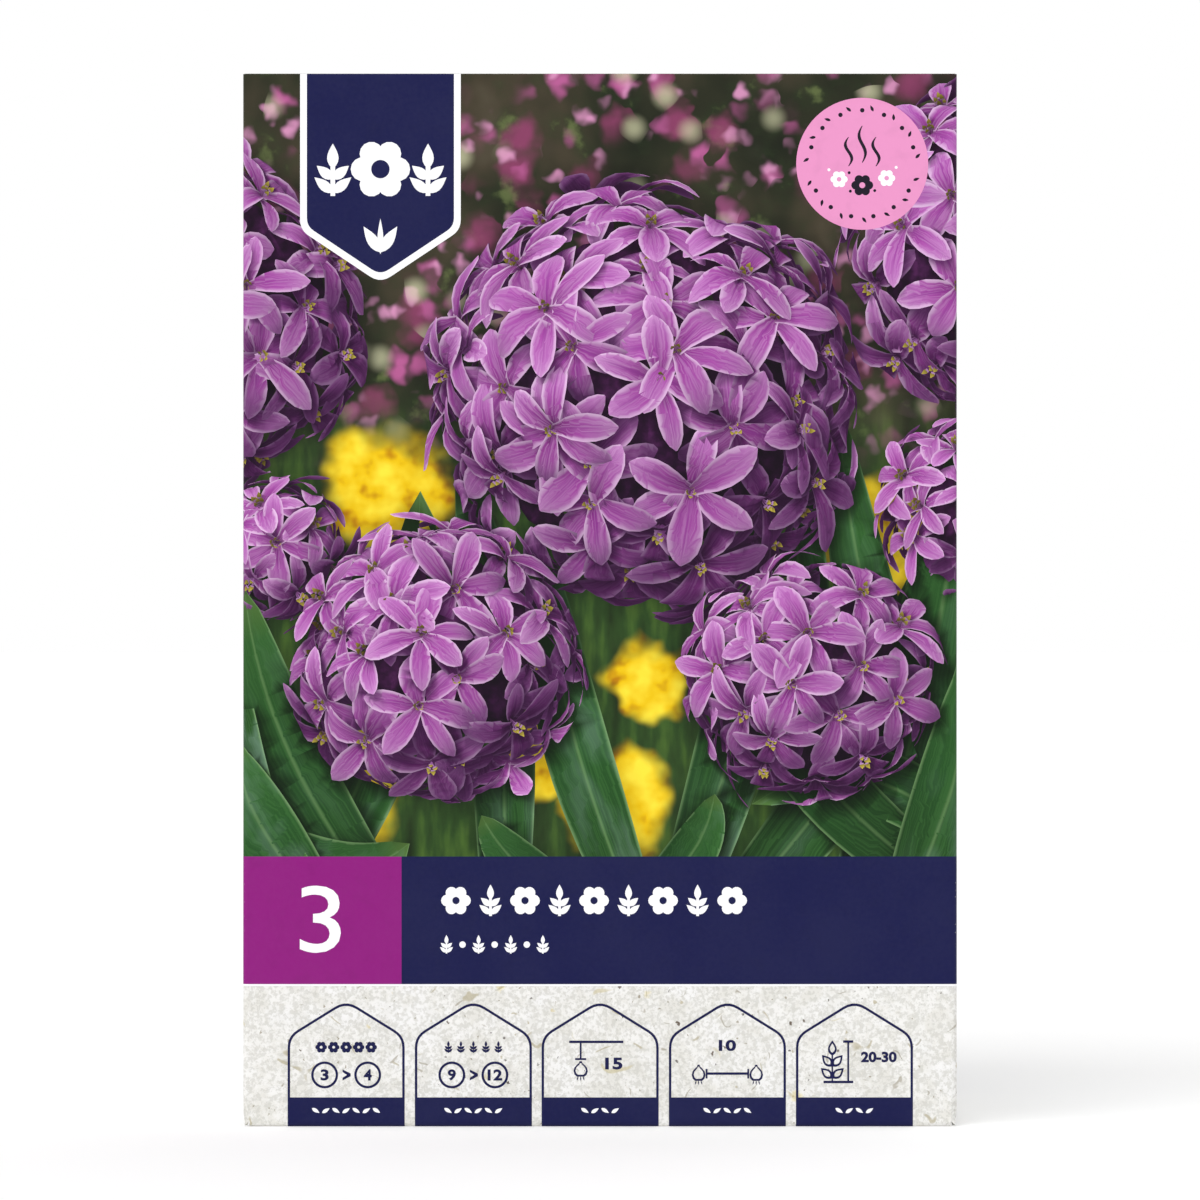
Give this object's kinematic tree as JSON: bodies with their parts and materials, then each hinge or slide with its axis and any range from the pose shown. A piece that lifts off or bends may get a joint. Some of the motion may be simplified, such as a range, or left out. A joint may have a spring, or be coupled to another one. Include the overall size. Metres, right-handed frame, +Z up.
{
  "type": "flower bulb carton",
  "caption": "Upright folded carton with a back-hinged tuck lid and air holes in its sides, holding loose flower bulbs.",
  "frame": {"origin": "middle of the carton's base, on the surface that it stands on", "axes": "+Z up along the tall walls, the printed front faces -Y, +X is to the right seen from the front"},
  "size_m": [0.12, 0.058, 0.177],
  "materials": {
    "board": "uncoated speckled natural board",
    "print": "satin printed board",
    "bulb": "dry papery bulb skin"
  },
  "bodies": {
    "carton": {"front_wall": "board", "back_wall": "board", "left_wall": "board", "right_wall": "board", "seam_flap": "board", "left_dust_flap": "board", "right_dust_flap": "board", "floor_front_flap": "board", "floor_back_flap": "board", "floor_left_flap": "board", "floor_right_flap": "board", "bulb_left": "bulb", "bulb_right": "bulb", "bulb_top": "bulb"},
    "lid": {"lid": "print"}
  },
  "joints": [
    {"name": "lid_hinge", "type": "hinge", "parent": "carton", "child": "lid", "pos_m": [0, 0.0287, 0.1767], "axis": [-1, 0, 0], "range_deg": [0, 135]}
  ]
}
